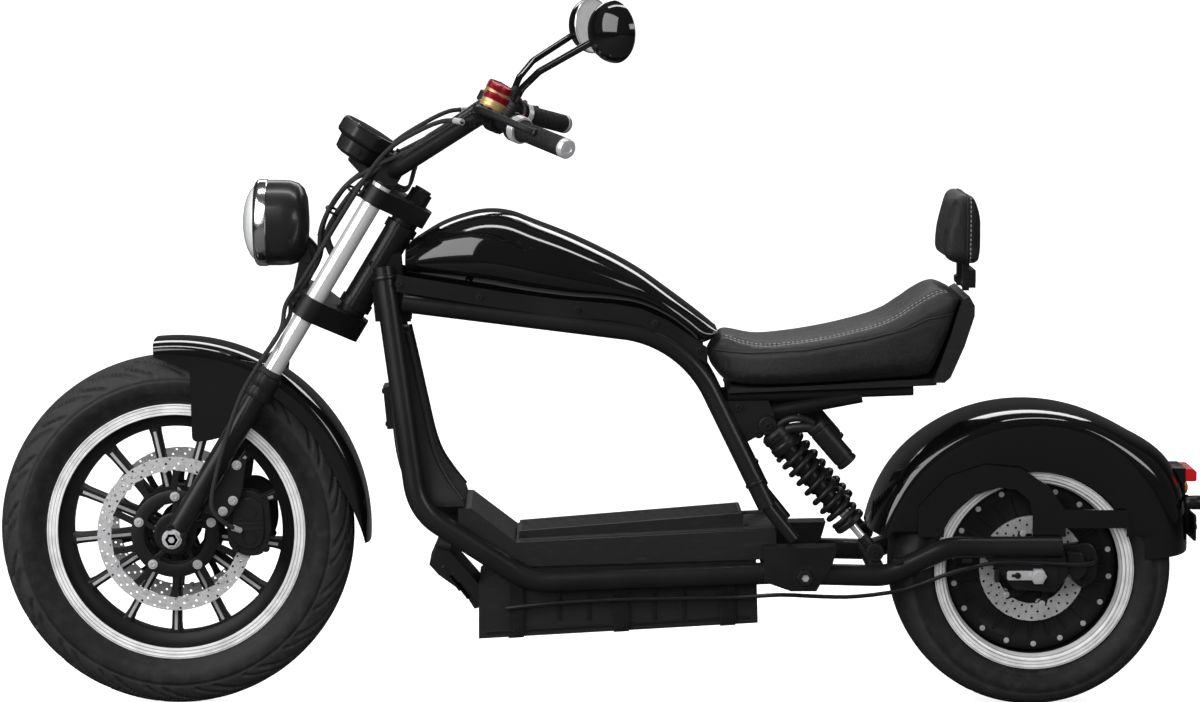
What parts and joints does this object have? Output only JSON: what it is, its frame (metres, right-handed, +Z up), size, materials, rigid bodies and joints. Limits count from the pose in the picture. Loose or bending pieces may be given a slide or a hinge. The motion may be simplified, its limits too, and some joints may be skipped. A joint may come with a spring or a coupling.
{
  "type": "electric chopper scooter",
  "caption": "Low electric chopper scooter with a long raked fork, a step-through floor over its battery, a fat rear hub-motor wheel, a black tank, a padded saddle and a backrest.",
  "frame": {"origin": "the saddle point: the middle of the seat's low point, on its top face", "axes": "+X forward, +Y to the rider's left, +Z up; the wheels stand on z = -0.628"},
  "size_m": [2.034, 0.8296, 1.202],
  "materials": {
    "frame_black": "satin black paint",
    "gloss_black": "deep gloss black paint",
    "seat_fabric": "black stitched vinyl",
    "black_plastic": "moulded black plastic",
    "tyre_rubber": "matt rubber",
    "grip_rubber": "matt rubber",
    "cast_black": "black cast alloy with machined faces",
    "disc_steel": "brushed",
    "chrome": "polished",
    "axle_steel": "zinc plated",
    "gold_alloy": "gold anodised",
    "red_lens": "clear red",
    "clear_lens": "clear",
    "cable_black": "braided sleeve"
  },
  "bodies": {
    "frame": {"head_frame": "frame_black", "bottom_tubes": "frame_black", "upper_frame": "frame_black", "tank": "gloss_black", "seat_cushion": "seat_fabric", "seat_base": "black_plastic", "backrest_pad": "seat_fabric", "backrest_post": "frame_black", "leg_box": "black_plastic", "footboard": "black_plastic", "battery_box": "black_plastic", "battery_lid": "black_plastic", "controller": "cast_black", "swing_arm": "frame_black", "rear_axle": "axle_steel", "shock_bodies": "frame_black", "shock_springs": "frame_black", "rear_fender": "gloss_black", "fender_stays": "frame_black", "tail_lamp": "red_lens", "plate_bracket": "black_plastic", "rear_caliper": "cast_black", "rear_brake_line": "cable_black"},
    "steering": {"lower_clamp": "cast_black", "upper_clamp": "cast_black", "fork_tubes": "chrome", "fork_legs": "frame_black", "front_axle": "axle_steel", "handlebar": "frame_black", "grips": "grip_rubber", "switch_housings": "black_plastic", "brake_levers": "cast_black", "master_cylinders": "gold_alloy", "mirrors": "gloss_black", "gauge": "black_plastic", "headlight_shell": "gloss_black", "headlight_lens": "clear_lens", "front_fender": "gloss_black", "front_calipers": "cast_black", "brake_hoses": "cable_black"},
    "front_wheel_body": {"front_tyre": "tyre_rubber", "front_wheel": "cast_black", "front_discs": "disc_steel"},
    "rear_wheel_body": {"rear_tyre": "tyre_rubber", "rear_wheel": "cast_black", "rear_disc": "disc_steel"}
  },
  "joints": [
    {"name": "steering_turn", "type": "hinge", "parent": "frame", "child": "steering", "pos_m": [0.692, 0, 0.059], "axis": [-0.515, 0, 0.8572], "range_deg": [-35, 35]},
    {"name": "front_wheel_spin", "type": "hinge", "parent": "steering", "child": "front_wheel_body", "pos_m": [0.998, 0, -0.328], "axis": [0, 1, 0], "continuous": true},
    {"name": "rear_wheel_spin", "type": "hinge", "parent": "frame", "child": "rear_wheel_body", "pos_m": [-0.45, 0, -0.3895], "axis": [0, 1, 0], "continuous": true}
  ]
}
